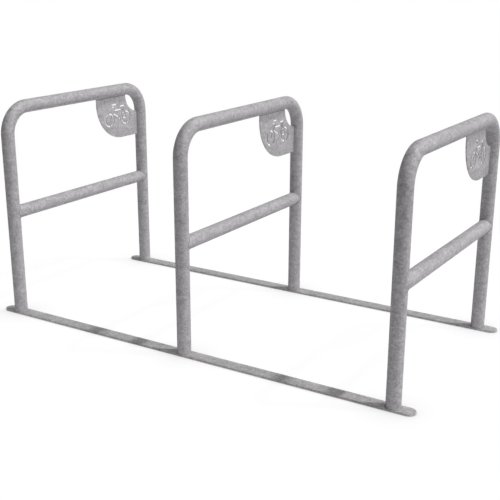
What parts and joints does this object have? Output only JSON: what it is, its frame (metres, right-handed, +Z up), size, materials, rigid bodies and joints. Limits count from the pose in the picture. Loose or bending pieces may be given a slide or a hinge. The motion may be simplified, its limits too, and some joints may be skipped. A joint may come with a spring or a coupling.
{
  "type": "bike rack",
  "caption": "Floor-standing cycle rack of bent-tube hoops with crossbars on two flat rails, each hoop with a bicycle-stencil corner plate, galvanised and fully welded.",
  "frame": {"origin": "on the ground under the middle hoop, halfway between the two rails", "axes": "+X along the rails, +Y towards the rear rail and the stencil plates, +Z up"},
  "size_m": [1.75, 0.8536, 0.833],
  "materials": {
    "galvanised_tube": "hot-dip galvanised, dull, with a faint fine spangle",
    "galvanised_flat_bar": "hot-dip galvanised, dull, with a faint fine spangle",
    "galvanised_plate": "hot-dip galvanised, dull, with a faint fine spangle",
    "galvanised_weld": "hot-dip galvanised over a rippled weld bead"
  },
  "bodies": {
    "root": {"front_rail": "galvanised_flat_bar", "rear_rail": "galvanised_flat_bar", "hoop_1": "galvanised_tube", "hoop_2": "galvanised_tube", "hoop_3": "galvanised_tube", "crossbar_1": "galvanised_tube", "crossbar_2": "galvanised_tube", "crossbar_3": "galvanised_tube", "stencil_plate_1": "galvanised_plate", "stencil_plate_2": "galvanised_plate", "stencil_plate_3": "galvanised_plate", "front_leg_weld_1": "galvanised_weld", "front_leg_weld_2": "galvanised_weld", "front_leg_weld_3": "galvanised_weld", "rear_leg_weld_1": "galvanised_weld", "rear_leg_weld_2": "galvanised_weld", "rear_leg_weld_3": "galvanised_weld", "front_crossbar_weld_1": "galvanised_weld", "front_crossbar_weld_2": "galvanised_weld", "front_crossbar_weld_3": "galvanised_weld", "rear_crossbar_weld_1": "galvanised_weld", "rear_crossbar_weld_2": "galvanised_weld", "rear_crossbar_weld_3": "galvanised_weld", "plate_top_weld_1": "galvanised_weld", "plate_top_weld_2": "galvanised_weld", "plate_top_weld_3": "galvanised_weld", "plate_side_weld_1": "galvanised_weld", "plate_side_weld_2": "galvanised_weld", "plate_side_weld_3": "galvanised_weld"}
  },
  "joints": []
}
